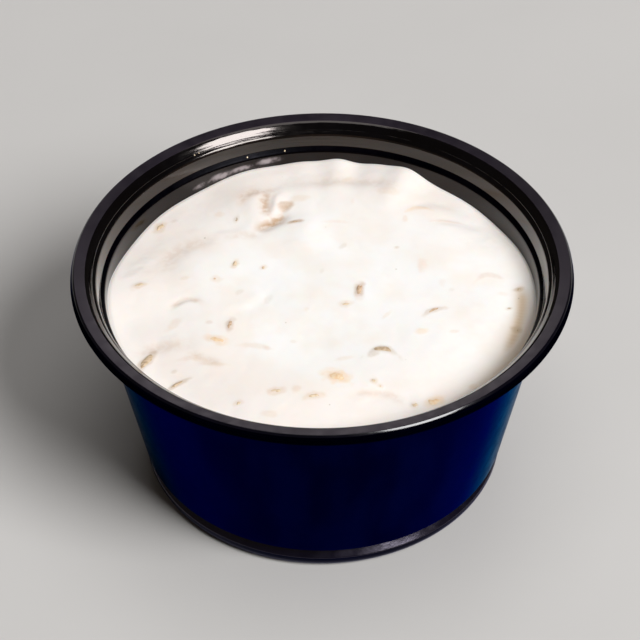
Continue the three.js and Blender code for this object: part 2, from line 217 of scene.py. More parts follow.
# A tan strip along the right wall: partly the sauce's own oily tone, partly painted shade of the wall's
# shadow.
OIL_STRIP = ([(24.7, 1.6), (24.9, -1.4), (24.5, -4.6), (23.3, -8.9), (21.4, -12.6)], 0.8, -0.06, 1.0)


def smoothstep(low, high, value):
    t = np.clip((value - low) / (high - low), 0, 1)
    return t * t * (3 - 2 * t)


def bell(value, width):
    return np.exp(-((value / width) ** 2))


def azimuth_gap(a, b):
    return np.abs((a - b + 540) % 360 - 180)


def inner_radius(height):
    return LEDGE_RADIUS - WALL_SLOPE * (LEDGE_HEIGHT - height)


def value_noise(x, y, seed):
    """Smooth noise from -1 to 1, one lattice cell a unit."""

    def corner(i, j):
        raw = np.sin(i * 127.1 + j * 311.7 + seed * 74.7) * 43758.5453
        return 2 * (raw - np.floor(raw)) - 1

    i, j = np.floor(x), np.floor(y)
    u = smoothstep(0, 1, x - i)
    v = smoothstep(0, 1, y - j)
    near = corner(i, j) * (1 - u) + corner(i + 1, j) * u
    far = corner(i, j + 1) * (1 - u) + corner(i + 1, j + 1) * u
    return near * (1 - v) + far * v


def shore_height(azimuth):
    rises = (rise * bell(azimuth_gap(azimuth, at), width) for rise, at, width in SHORE_RISES)
    return SHORE_LEVEL + sum(rises)


def fold_height(fold, x, y):
    start, end, bow, lip, lip_width, trough, trough_width = fold
    dx, dy = end[0] - start[0], end[1] - start[1]
    length = math.hypot(dx, dy)
    dx, dy = dx / length, dy / length
    u = ((x - start[0]) * dx + (y - start[1]) * dy) / length
    v = (y - start[1]) * dx - (x - start[0]) * dy - bow * 4 * u * (1 - u)
    fade = smoothstep(0, FOLD_END_FADE, u) * smoothstep(0, FOLD_END_FADE, 1 - u)
    left_side = (1 + np.tanh(v / FOLD_CRISPNESS)) / 2
    rise = lip * bell(v, lip_width) * (1 - left_side) - trough * bell(v, trough_width) * left_side
    return np.where((u > 0) & (u < 1), fade * rise, 0.0)


def turned(x, y, at, turn):
    """Coordinates along and across a direction, from a place."""
    c, s = math.cos(math.radians(turn)), math.sin(math.radians(turn))
    dx, dy = x - at[0], y - at[1]
    return dx * c + dy * s, dy * c - dx * s


def mound_height(mound, x, y):
    at, size, turn, height = mound
    u, v = turned(x, y, at, turn)
    return height * bell(u, size[0]) * bell(v, size[1])


def stroke_fade(stroke, x, y):
    """1 on the middle line of a stroke, falling to 0 beside it and at its ends."""
    points, half_width = np.array(stroke[0]), stroke[1]
    t = np.linspace(0, 1, len(points))
    degree = min(len(points) - 1, 3)
    fine = np.linspace(0, 1, STROKE_SAMPLES)
    line_x = np.polyval(np.polyfit(t, points[:, 0], degree), fine)
    line_y = np.polyval(np.polyfit(t, points[:, 1], degree), fine)
    strength = np.zeros_like(x)
    for along, px, py in zip(fine, line_x, line_y):
        taper = smoothstep(0, 0.3, min(along, 1 - along) + 0.02)
        strength = np.maximum(strength, taper * bell(np.hypot(x - px, y - py), half_width))
    return strength


def swell(x, y):
    return sum(height * np.sin(pace_x * x + pace_y * y + phase) for height, pace_x, pace_y, phase in SWELLS)


# Bits: place, length, width, turn, bend, kind, strength of the stain, and how proud the bit stands.
# A bit with no height lies under the surface, and only its stain and a low bump show.
BITS = [
    ((-20.9, 13.8), 1.9, 1.1, 62, 0.0, "tan", 0.75, 0.22),
    ((-19.1, 14.9), 0.7, 0.5, 20, 0.0, "olive", 0.3, 0.0),
    ((-11.0, 5.3), 1.5, 0.75, 75, 0.0, "tan", 0.8, 0.2),
    ((-7.4, 4.6), 0.8, 0.6, 60, 0.0, "tan", 0.55, 0.12),
    ((-11.0, 14.6), 1.2, 0.6, 72, 0.0, "olive", 0.45, 0.06),
    ((-13.2, 15.9), 1.0, 0.9, 10, 0.0, "tan", 0.35, 0.0),
    ((-13.3, 2.4), 1.1, 1.0, 30, 0.0, "tan", 0.45, 0.1),
    ((-17.3, 2.6), 0.8, 0.6, 10, 0.0, "tan", 0.4, 0.0),
    ((-22.9, 1.2), 1.7, 0.9, 28, 0.2, "tan", 0.75, 0.1),
    ((-10.3, 0.0), 0.9, 0.6, 40, 0.0, "olive", 0.3, 0.0),
    ((-6.7, -1.4), 1.5, 0.7, 66, 0.1, "olive", 0.25, 0.0),
    ((-18.3, -5.9), 2.0, 0.9, 55, 0.0, "tan", 0.4, 0.0),
    ((-14.0, -5.8), 0.6, 0.5, 0, 0.0, "brown", 0.45, 0.0),
    ((-11.4, -6.3), 2.0, 0.8, 82, 0.1, "brown", 0.75, 0.2),
    ((-12.9, -9.0), 2.6, 1.1, -26, 0.0, "orange", 0.7, 0.2),
    ((-21.4, -12.2), 3.4, 1.0, 58, 0.06, "olive", 0.9, 0.34),
    ((-17.5, -16.3), 2.4, 0.6, 38, 0.1, "olive", 0.85, 0.2),
    ((-18.0, -14.1), 0.7, 0.5, 40, 0.0, "olive", 0.45, 0.0),
    ((-15.4, -12.3), 3.2, 0.7, -14, 0.2, "tan", 0.35, 0.0),
    ((-13.3, -13.2), 2.6, 0.5, -8, 0.0, "tan", 0.4, 0.0),
    ((-8.2, -10.1), 2.9, 0.7, -10, 0.1, "tan", 0.4, 0.0),
    ((-6.8, -10.5), 0.8, 0.6, -20, 0.0, "brown", 0.35, 0.0),
    ((-3.6, -9.1), 0.6, 0.5, 0, 0.0, "brown", 0.25, 0.0),
    ((-6.4, -21.9), 1.5, 0.9, 0, 0.0, "tan", 0.4, 0.0),
    ((-10.1, -20.0), 0.9, 0.7, 20, 0.0, "tan", 0.5, 0.1),
    ((-5.6, -18.1), 1.7, 1.1, 6, 0.0, "tan", 0.65, 0.14),
    ((-3.2, -17.9), 0.9, 0.9, -40, 0.0, "tan", 0.5, 0.0),
    ((-1.0, -19.1), 2.2, 0.9, 12, 0.15, "tan", 0.55, 0.1),
    ((1.8, -15.7), 2.7, 1.9, -24, 0.0, "orange", 0.95, 0.25),
    ((2.6, -12.4), 1.6, 0.6, 14, 0.0, "tan", 0.35, 0.0),
    ((6.1, -16.5), 0.8, 0.7, 0, 0.0, "tan", 0.8, 0.15),
    ((6.9, -17.3), 0.6, 0.4, -30, 0.0, "tan", 0.6, 0.1),
    ((7.3, -11.1), 2.8, 0.95, -6, 0.4, "olive", 0.75, 0.34),
    ((6.1, -11.9), 1.3, 0.7, 20, 0.0, "olive", 0.55, 0.0),
    ((2.9, -2.4), 1.4, 1.0, 15, 0.0, "tan", 0.55, 0.12),
    ((4.7, 0.1), 2.3, 0.95, 84, 0.1, "brown", 0.95, 0.26),
    ((2.7, 8.7), 1.0, 0.6, 50, 0.0, "olive", 0.3, 0.0),
    ((9.6, 8.4), 0.5, 0.4, 20, 0.0, "olive", 0.6, 0.0),
    ((0.0, 3.8), 0.8, 0.4, 70, 0.0, "olive", 0.2, 0.0),
    ((-1.9, -3.4), 0.7, 0.5, 70, 0.0, "tan", 0.25, 0.0),
    ((8.0, -4.5), 1.3, 0.4, 52, 0.0, "tan", 0.35, 0.0),
    ((12.7, 4.8), 2.2, 0.9, 86, 0.0, "peach", 0.55, 0.0),
    ((15.1, 1.5), 1.2, 0.6, 82, 0.0, "peach", 0.3, 0.0),
    ((16.2, 0.1), 0.5, 0.4, 0, 0.0, "olive", 0.25, 0.0),
    ((13.8, -3.8), 2.7, 0.7, 28, 0.22, "brown", 0.6, 0.08),
    ((12.2, -7.7), 1.1, 0.8, 10, 0.0, "orange", 0.55, 0.0),
    ((16.2, -7.7), 1.0, 0.5, 10, 0.0, "tan", 0.4, 0.0),
    ((20.9, 2.9), 2.7, 0.7, 12, 0.4, "brown", 0.36, 0.0),
    ((22.6, -0.5), 1.0, 0.6, 0, 0.0, "peach", 0.4, 0.0),
    ((23.2, -3.2), 0.6, 0.4, 20, 0.0, "olive", 0.6, 0.1),
    ((24.6, 0.5), 1.1, 0.7, 20, 0.0, "olive", 0.8, 0.08),
    ((10.9, -20.3), 0.8, 0.7, 0, 0.0, "tan", 0.6, 0.25),
    ((23.9, -6.9), 1.3, 0.8, -30, 0.0, "olive", 0.75, 0.08),
    ((18.1, -17.0), 0.8, 0.7, 20, 0.0, "tan", 0.5, 0.0),
    ((13.3, -19.8), 2.0, 1.4, 14, 0.0, "orange", 0.8, 0.2),
    ((8.7, 19.6), 2.4, 1.1, -8, 0.0, "tan", 0.4, 0.0),
    ((4.1, 17.9), 1.0, 0.4, 86, 0.0, "peach", 0.35, 0.0),
    ((10.8, 14.4), 1.2, 0.5, 84, 0.0, "tan", 0.45, 0.0),
    ((12.5, 16.6), 2.6, 0.6, 10, 0.3, "orange", 0.6, 0.0),
    ((16.3, 14.1), 3.4, 0.45, -3, 0.1, "peach", 0.55, 0.0),
    ((2.0, 13.6), 2.5, 0.5, -2, 0.1, "peach", 0.4, 0.0),
    ((3.4, 22.7), 1.3, 0.5, 40, 0.0, "tan", 0.35, 0.0),
    ((-3.4, 13.5), 1.6, 0.55, 6, 0.1, "brown", 0.85, 0.16),
    ((-4.6, 17.1), 1.9, 1.2, 36, 0.0, "brown", 1.0, 0.0),
    # This stain is partly painted shade in the swirl's deep fold, and partly the brown tone seen there.
    ((-6.2, 14.0), 1.7, 0.8, 42, 0.0, "brown", 0.6, 0.0),
    ((-2.9, 18.6), 1.9, 1.0, 10, 0.0, "tan", 0.4, 0.0),
]
STAIN_KINDS = ("tan", "orange", "olive", "brown", "peach")
STAIN_EDGE = 1.77  # a stain ends here, where 1 is the bit's outline
STAIN_CORE = 0.75  # the stain has its full strength up to here
BUMP_HEIGHT = 0.07
BUMP_REACH = 1.1
PROUD_SHARE = 0.32
OUTLINE_WOBBLE = 0.22
OUTLINE_GRAIN = 1.7  # noise cells a millimetre
PEBBLE_THICKNESS = 0.45
PEBBLE_SQUARENESS = 0.8  # 1 is round, and less is squarer
PEBBLE_LUMPS = 0.13
PEBBLE_GRAIN = 2.2


def bit_distance(bit, x, y):
    """How far a point lies from the middle of a bit: 1 at its outline, which the noise makes uneven."""
    at, length, width, turn, bend = bit[:5]
    u, v = turned(x, y, at, turn)
    u = u / (length / 2)
    v = v - bend * length / 2 * (0.5 - u * u)
    v = v / (width / 2)
    wobble = 1 + OUTLINE_WOBBLE * value_noise(x * OUTLINE_GRAIN, y * OUTLINE_GRAIN, seed=5)
    return np.hypot(u, v) * wobble


def bit_bumps(x, y):
    """Low bumps over the bits that lie under the surface."""
    height = np.zeros_like(x)
    for bit in BITS:
        height += BUMP_HEIGHT * bit[6] * bell(bit_distance(bit, x, y), BUMP_REACH)
    return height


def edge_roll(gap):
    """The sauce rounds down where it touches the wall."""
    return -EDGE_ROLL_DEPTH * bell(np.maximum(gap, 0), EDGE_ROLL_WIDTH)


def sauce_height(x, y):
    """Height of the sauce's surface over points."""
    radius = np.hypot(x, y)
    azimuth = np.degrees(np.arctan2(y, x))
    shore = shore_height(azimuth)
    edge = inner_radius(shore)
    inland = smoothstep(edge, edge - SHOULDER_WIDTH, radius)
    relief = swell(x, y)
    for fold in FOLDS:
        relief = relief + fold_height(fold, x, y)
    for mound in MOUNDS:
        relief = relief + mound_height(mound, x, y)
    relief = relief + bit_bumps(x, y)
    for stroke in [*STROKES, OIL_STRIP]:
        relief = relief + stroke[2] * stroke_fade(stroke, x, y)
    for height, grain, seed in RIPPLES:
        relief = relief + height * value_noise(x * grain, y * grain, seed)
    relief_fade = smoothstep(edge, edge - RELIEF_FADE, radius)
    right = bell(azimuth_gap(azimuth, RIGHT_AZIMUTH), RIGHT_WIDTH)
    drop = RIGHT_DROP * right * bell(edge - radius, RIGHT_REACH) * relief_fade
    middle = shore + (CROWN_LEVEL - shore) * inland
    return middle + relief * relief_fade - drop + edge_roll(edge - radius)


# ---- Meshes ----


def add_mesh(name, vertices, faces, materials, face_materials=None):
    """A smooth-shaded piece from vertices in millimetres."""
    mesh = bpy.data.meshes.new(name)
    mesh.from_pydata((np.asarray(vertices) * MM).tolist(), [], faces)
    for material in materials:
        mesh.materials.append(material)
    if face_materials is not None:
        mesh.polygons.foreach_set("material_index", np.asarray(face_materials, np.int32))
    mesh.polygons.foreach_set("use_smooth", np.ones(len(mesh.polygons), bool))
    mesh.update()
    piece = bpy.data.objects.new(name, mesh)
    bpy.context.scene.collection.objects.link(piece)
    return piece


def add_attribute(piece, name, values):
    attribute = piece.data.attributes.new(name, "FLOAT", "POINT")
    attribute.data.foreach_set("value", np.asarray(values, np.float32))


def rounded_section(corners):
    """Points of a section with its corners rounded, and the finish of the stretch after each."""
    points, finishes = [], []
    for i, (radius, height, rounding, finish) in enumerate(corners):
        here = np.array((radius, height))
        if rounding == 0:
            points.append(here)
            finishes.append(finish)
            continue
        before = np.array(corners[i - 1][:2]) - here
        after = np.array(corners[i + 1][:2]) - here
        reach_before = min(rounding, 0.48 * np.linalg.norm(before))
        reach_after = min(rounding, 0.48 * np.linalg.norm(after))
        start = here + before / np.linalg.norm(before) * reach_before
        end = here + after / np.linalg.norm(after) * reach_after
        for t in np.linspace(0, 1, CORNER_STEPS + 1):
            points.append((1 - t) ** 2 * start + 2 * t * (1 - t) * here + t * t * end)
            finishes.append(corners[i - 1][3] if t < 0.5 else finish)
    return np.array(points), finishes


def lathe(name, corners, materials):
    """A closed piece turned about +Z. materials gives one for each finish."""
    points, finishes = rounded_section(corners)
    names = list(materials)
    angles = np.arange(CUP_TURNS) * 2 * math.pi / CUP_TURNS
    inner = points[1:-1]
    rings = np.stack(
        [
            inner[:, None, 0] * np.cos(angles)[None, :],
            inner[:, None, 0] * np.sin(angles)[None, :],
            np.repeat(inner[:, None, 1], CUP_TURNS, 1),
        ],
        -1,
    )
    vertices = [*rings.reshape(-1, 3), (0, 0, points[0][1]), (0, 0, points[-1][1])]
    bottom, top = len(vertices) - 2, len(vertices) - 1
    faces, used = [], []
    last = (len(inner) - 1) * CUP_TURNS
    for j in range(CUP_TURNS):
        k = (j + 1) % CUP_TURNS
        faces.append((bottom, k, j))
        used.append(names.index(finishes[0]))
        faces.append((top, last + j, last + k))
        used.append(names.index(finishes[-1]))
    for i in range(len(inner) - 1):
        index = names.index(finishes[i + 1])
        low, high = i * CUP_TURNS, (i + 1) * CUP_TURNS
        for j in range(CUP_TURNS):
            k = (j + 1) % CUP_TURNS
            faces.append((low + j, low + k, high + k, high + j))
            used.append(index)
    return add_mesh(name, vertices, faces, materials.values(), used)


def square_to_disc(cells):
    """Unit disc points of a square grid, so that nested squares become rings."""
    side = np.linspace(-1, 1, cells + 1)
    u, v = np.meshgrid(side, side)
    ring = np.maximum(np.abs(u), np.abs(v))
    sideways = np.abs(u) >= np.abs(v)
    safe_u = np.where(u == 0, 1, u)
    safe_v = np.where(v == 0, 1, v)
    start = np.where(sideways, np.where(u > 0, 0, math.pi), np.sign(v) * math.pi / 2)
    turn = start + math.pi / 4 * np.where(sideways, v / safe_u, -u / safe_v)
    return ring * np.cos(turn), ring * np.sin(turn)


def sauce_shell():
    """Vertices and faces of the sauce: its surface, sides that follow the wall, and a flat bottom."""
    u, v = square_to_disc(SURFACE_CELLS)
    azimuth = np.degrees(np.arctan2(v, u))
    reach = inner_radius(shore_height(azimuth)) + WALL_BITE
    x, y = u * reach, v * reach
    surface = np.stack([x, y, sauce_height(x, y)], -1).reshape(-1, 3)
    stride = SURFACE_CELLS + 1
    index = np.arange(stride * stride).reshape(stride, stride)
    quads = np.stack([index[:-1, :-1], index[:-1, 1:], index[1:, 1:], index[1:, :-1]], -1).reshape(-1, 4)
    faces = quads.tolist()
    ring = np.concatenate([index[0, :-1], index[:-1, -1], index[-1, :0:-1], index[:0:-1, 0]])
    vertices = [surface]
    outline = surface[ring]
    around = np.degrees(np.arctan2(outline[:, 1], outline[:, 0]))
    bottom = FLOOR_HEIGHT - WALL_BITE
    count = len(surface)
    side_rings = [(20.0, 0.0), (12.0, 0.0), (bottom + FLOOR_FILLET, 0.0), (bottom, FLOOR_FILLET)]
    for height, inset in side_rings:
        radius = inner_radius(height) + WALL_BITE - inset
        turn = np.radians(around)
        lower = np.stack([radius * np.cos(turn), radius * np.sin(turn), np.full(len(turn), height)], -1)
        vertices.append(lower)
        new_ring = np.arange(count, count + len(lower))
        count += len(lower)
        for i in range(len(ring)):
            k = (i + 1) % len(ring)
            faces.append((ring[i], new_ring[i], new_ring[k], ring[k]))
        ring = new_ring
    vertices.append(np.array([[0, 0, bottom]]))
    faces += [(count, ring[(i + 1) % len(ring)], ring[i]) for i in range(len(ring))]
    return np.concatenate(vertices), faces


def add_stains(piece, x, y):
    """One attribute for each kind of bit, with the strength of its stains."""
    for kind in STAIN_KINDS:
        stain = np.zeros(len(x))
        for bit in BITS:
            if bit[5] == kind:
                core = 1 - smoothstep(STAIN_CORE, STAIN_EDGE, bit_distance(bit, x, y))
                stain = np.maximum(stain, bit[6] * core)
        add_attribute(piece, "stain_" + kind, stain)


# The strokes' tint: partly the sauce's brown tone, partly painted shade in folds and valleys.
def add_hollow_tone_and_painted_shade(piece, x, y):
    hollow_tone_and_painted_shade = np.zeros(len(x))
    for stroke in STROKES:
        hollow_tone_and_painted_shade = np.maximum(hollow_tone_and_painted_shade, stroke[3] * stroke_fade(stroke, x, y))
    add_attribute(piece, "hollow_tone_and_painted_shade", hollow_tone_and_painted_shade)


def add_painted_shade_oil_and_warm(piece, x, y):
    """A brown tint along the right wall, painted shade of the wall's shadow with a tan oily strip in it,
    and where the sauce is warmer in colour.
    """
    radius = np.hypot(x, y)
    azimuth = np.degrees(np.arctan2(y, x))
    painted_shade_and_oil = bell(azimuth_gap(azimuth, PAINTED_SHADE_AZIMUTH), PAINTED_SHADE_WIDTH)
    painted_shade_and_oil = painted_shade_and_oil * bell(np.maximum(inner_radius(SHORE_LEVEL) - radius, 0), PAINTED_SHADE_REACH)
    oil = OIL_STRIP[3] * stroke_fade(OIL_STRIP, x, y)
    add_attribute(piece, "painted_shade_and_oil", np.maximum(painted_shade_and_oil, oil))
    away_from_right = 1 - bell(azimuth_gap(azimuth, 0), WARM_GAP)
    add_attribute(piece, "warm", smoothstep(*WARM_REACH, radius) * away_from_right)


def sauce_mesh(material):
    """The sauce as one piece, with the attributes that its material reads."""
    vertices, faces = sauce_shell()
    piece = add_mesh("sauce_surface", vertices, faces, [material])
    x, y = vertices[:, 0], vertices[:, 1]
    add_stains(piece, x, y)
    add_hollow_tone_and_painted_shade(piece, x, y)
    add_painted_shade_oil_and_warm(piece, x, y)
    return piece


def add_smear_strength(piece):
    """Marks the cup's vertices that a smear covers."""
    places = np.array([vertex.co for vertex in piece.data.vertices]) / MM
    azimuth = np.degrees(np.arctan2(places[:, 1], places[:, 0]))
    radius = np.hypot(places[:, 0], places[:, 1])
    near_wall = np.abs(radius - inner_radius(places[:, 2])) < WALL_TOLERANCE
    on_wall = near_wall & (places[:, 2] > FLOOR_HEIGHT + FLOOR_FILLET)
    strength = np.zeros(len(places))
    for at, height, half_width, half_height, amount in SMEARS:
        across = np.radians((azimuth - at + 540) % 360 - 180) * radius / half_width
        distance = np.hypot(across, (places[:, 2] - height) / half_height)
        strength = np.maximum(strength, amount * (1 - smoothstep(SMEAR_CORE, SMEAR_EDGE, distance)))
    add_attribute(piece, "smear", strength * on_wall)


def add_beads(name, beads, material, rows=10, columns=18):
    """Small flattened drops, all in one piece."""
    vertices, faces = [], []
    for azimuth, radius, height, size in beads:
        turn = math.radians(azimuth)
        middle = (radius * math.cos(turn), radius * math.sin(turn), height)
        start = len(vertices)
        vertices.append((middle[0], middle[1], middle[2] - size))
        for row in range(1, rows):
            tilt = math.pi * row / rows - math.pi / 2
            for column in range(columns):
                around = 2 * math.pi * column / columns
                x = middle[0] + size * math.cos(tilt) * math.cos(around)
                y = middle[1] + size * math.cos(tilt) * math.sin(around)
                vertices.append((x, y, middle[2] + size * math.sin(tilt)))
        vertices.append((middle[0], middle[1], middle[2] + size))
        top = len(vertices) - 1
        first, last = start + 1, top - columns
        for column in range(columns):
            k = (column + 1) % columns
            faces.append((start, first + k, first + column))
            faces.append((last + column, last + k, top))
            for row in range(rows - 2):
                low, high = first + row * columns, first + (row + 1) * columns
                faces.append((low + column, low + k, high + k, high + column))
    return add_mesh(name, vertices, faces, [material])


def pebble(bit, rows=14, columns=26):
    """A chopped bit that drapes over the sauce's surface: vertices, faces and how bare each vertex is."""
    at, length, width, turn, bend, _, _, proud = bit
    lat = np.linspace(-math.pi / 2, math.pi / 2, rows + 1)[1:-1]
    lon = np.arange(columns) * 2 * math.pi / columns
    lat, lon = np.meshgrid(lat, lon, indexing="ij")

    def square_off(value):
        return np.sign(value) * np.abs(value) ** PEBBLE_SQUARENESS

    def ring(row):
        return 1 + row * columns

    u = square_off(np.cos(lat)) * square_off(np.cos(lon))
    v = square_off(np.cos(lat)) * square_off(np.sin(lon))
    w = square_off(np.sin(lat))
    u = np.concatenate([[0], u.ravel(), [0]])
    v = np.concatenate([[0], v.ravel(), [0]])
    w = np.concatenate([[-1], w.ravel(), [1]])
    lump = 1 + PEBBLE_LUMPS * value_noise(u * PEBBLE_GRAIN + at[0], v * PEBBLE_GRAIN + at[1], seed=7)
    along = u * lump * length / 2
    across = v * lump * width / 2 + bend * length / 2 * (0.5 - u * u)
    c, s = math.cos(math.radians(turn)), math.sin(math.radians(turn))
    x = at[0] + along * c - across * s
    y = at[1] + along * s + across * c
    z = sauce_height(x, y) + w * lump * PEBBLE_THICKNESS + PROUD_SHARE * proud - PEBBLE_THICKNESS
    faces = []
    for j in range(columns):
        k = (j + 1) % columns
        faces.append((0, ring(0) + k, ring(0) + j))
        for row in range(rows - 2):
            faces.append((ring(row) + j, ring(row) + k, ring(row + 1) + k, ring(row + 1) + j))
        faces.append((ring(rows - 2) + j, ring(rows - 2) + k, len(x) - 1))
    return np.stack([x, y, z], -1), faces, np.clip(w, 0, 1)


def add_bits(kind, material):
    """All the bits of one colour that stand proud, as one piece."""
    vertices, faces, bare, count = [], [], [], 0
    for bit in BITS:
        if bit[5] != kind or bit[7] == 0:
            continue
        places, polygons, bareness = pebble(bit)
        vertices.append(places)
        bare.append(bareness)
        faces += [tuple(corner + count for corner in polygon) for polygon in polygons]
        count += len(places)
    piece = add_mesh("bits_" + kind, np.concatenate(vertices), faces, [material])
    add_attribute(piece, "bare", np.concatenate(bare))
    return piece


# ---- Materials ----


def linear(red, green, blue):
    """An 8-bit screen colour as a linear one."""

    def channel(value):
        value /= 255
        return value / 12.92 if value <= 0.04045 else ((value + 0.055) / 1.055) ** 2.4

    return (channel(red), channel(green), channel(blue), 1.0)


class Material:
    """A node material with one Principled shader and short ways to add to it."""

    def __init__(self, name, **constants):
        self.material = bpy.data.materials.new(name)
        self.material.use_nodes = True
        self.tree = self.material.node_tree
        self.shader = self.tree.nodes["Principled BSDF"]
        for socket, value in constants.items():
            self.shader.inputs[socket.replace("_", " ")].default_value = value
        self.place = self.node("ShaderNodeTexCoord").outputs["Object"]

    def node(self, kind, inputs=None, **settings):
        made = self.tree.nodes.new(kind)
        for name, value in settings.items():
            setattr(made, name, value)
        for name, value in (inputs or {}).items():
            if isinstance(value, bpy.types.NodeSocket):
                self.tree.links.new(value, made.inputs[name])
            else:
                made.inputs[name].default_value = value
        return made

    def link(self, output, socket):
        self.tree.links.new(output, self.shader.inputs[socket])

    def noise(self, grain, detail=3.0, roughness=0.5, stretch=(1, 1, 1)):
        """Noise whose features are about grain millimetres across."""
        mapped = self.node("ShaderNodeMapping", {"Vector": self.place, "Scale": stretch})
        cells = 1 / (grain * MM)
        inputs = {"Vector": mapped.outputs[0], "Scale": cells, "Detail": detail, "Roughness": roughness}
        return self.node("ShaderNodeTexNoise", inputs).outputs["Fac"]

    def specks(self, spacing, size):
        """1 inside small dots, spacing and size in millimetres."""
        cells = self.node("ShaderNodeTexVoronoi", {"Vector": self.place, "Scale": 1 / (spacing * MM)})
        return self.remap(cells.outputs["Distance"], size / spacing, 0.6 * size / spacing)

    def remap(self, value, low, high, out_low=0.0, out_high=1.0):
        inputs = {"Value": value, "From Min": low, "From Max": high, "To Min": out_low, "To Max": out_high}
        return self.node("ShaderNodeMapRange", inputs, interpolation_type="SMOOTHSTEP").outputs["Result"]

    def math(self, operation, a, b):
        made = self.node("ShaderNodeMath", operation=operation)
        for i, value in enumerate((a, b)):
            if isinstance(value, bpy.types.NodeSocket):
                self.tree.links.new(value, made.inputs[i])
            else:
                made.inputs[i].default_value = value
        return made.outputs[0]

    def attribute(self, name):
        return self.node("ShaderNodeAttribute", attribute_name=name).outputs["Fac"]

    def mix(self, factor, a, b):
        """Colour a where factor is 0, b where it is 1."""
        made = self.node("ShaderNodeMix", data_type="RGBA")
        for socket, value in ((made.inputs[0], factor), (made.inputs[6], a), (made.inputs[7], b)):
            if isinstance(value, bpy.types.NodeSocket):
                self.tree.links.new(value, socket)
            else:
                socket.default_value = value
        return made.outputs[2]

    def bump(self, height, distance, strength=1.0):
        """distance is the relief's height in millimetres."""
        inputs = {"Height": height, "Distance": distance * MM, "Strength": strength}
        self.link(self.node("ShaderNodeBump", inputs).outputs[0], "Normal")


def plastic(name, dark, light, roughness, rough_spread, grain, bump, stretch=(1, 1, 1), **constants):
    """Moulded plastic: a slow change of colour in upright streaks, uneven gloss and a fine grain."""
    made = Material(name, **constants)
    streaks = made.remap(made.noise(6.0, stretch=(1, 1, 0.4)), 0.34, 0.66)
    made.link(made.mix(streaks, dark, light), "Base Color")
    least, most = roughness - rough_spread, roughness + rough_spread
    made.link(made.remap(made.noise(1.6), 0.3, 0.7, least, most), "Roughness")
    made.bump(made.noise(grain, stretch=stretch), bump)
    return made


def add_smears(made):
    """Turns the finish of the wall into pale, duller plastic where a smear of sauce lies."""
    ragged = made.remap(made.noise(1.2, detail=4.0), 0.38, 0.6, 0.1, 1.0)
    film = made.math("MULTIPLY", made.attribute("smear"), ragged)
    clean = made.shader.inputs["Base Color"].links[0].from_socket
    made.link(made.mix(film, clean, linear(160, 150, 152)), "Base Color")
    smooth = made.shader.inputs["Roughness"].links[0].from_socket
    made.link(made.math("MAXIMUM", smooth, made.math("MULTIPLY", film, 0.5)), "Roughness")


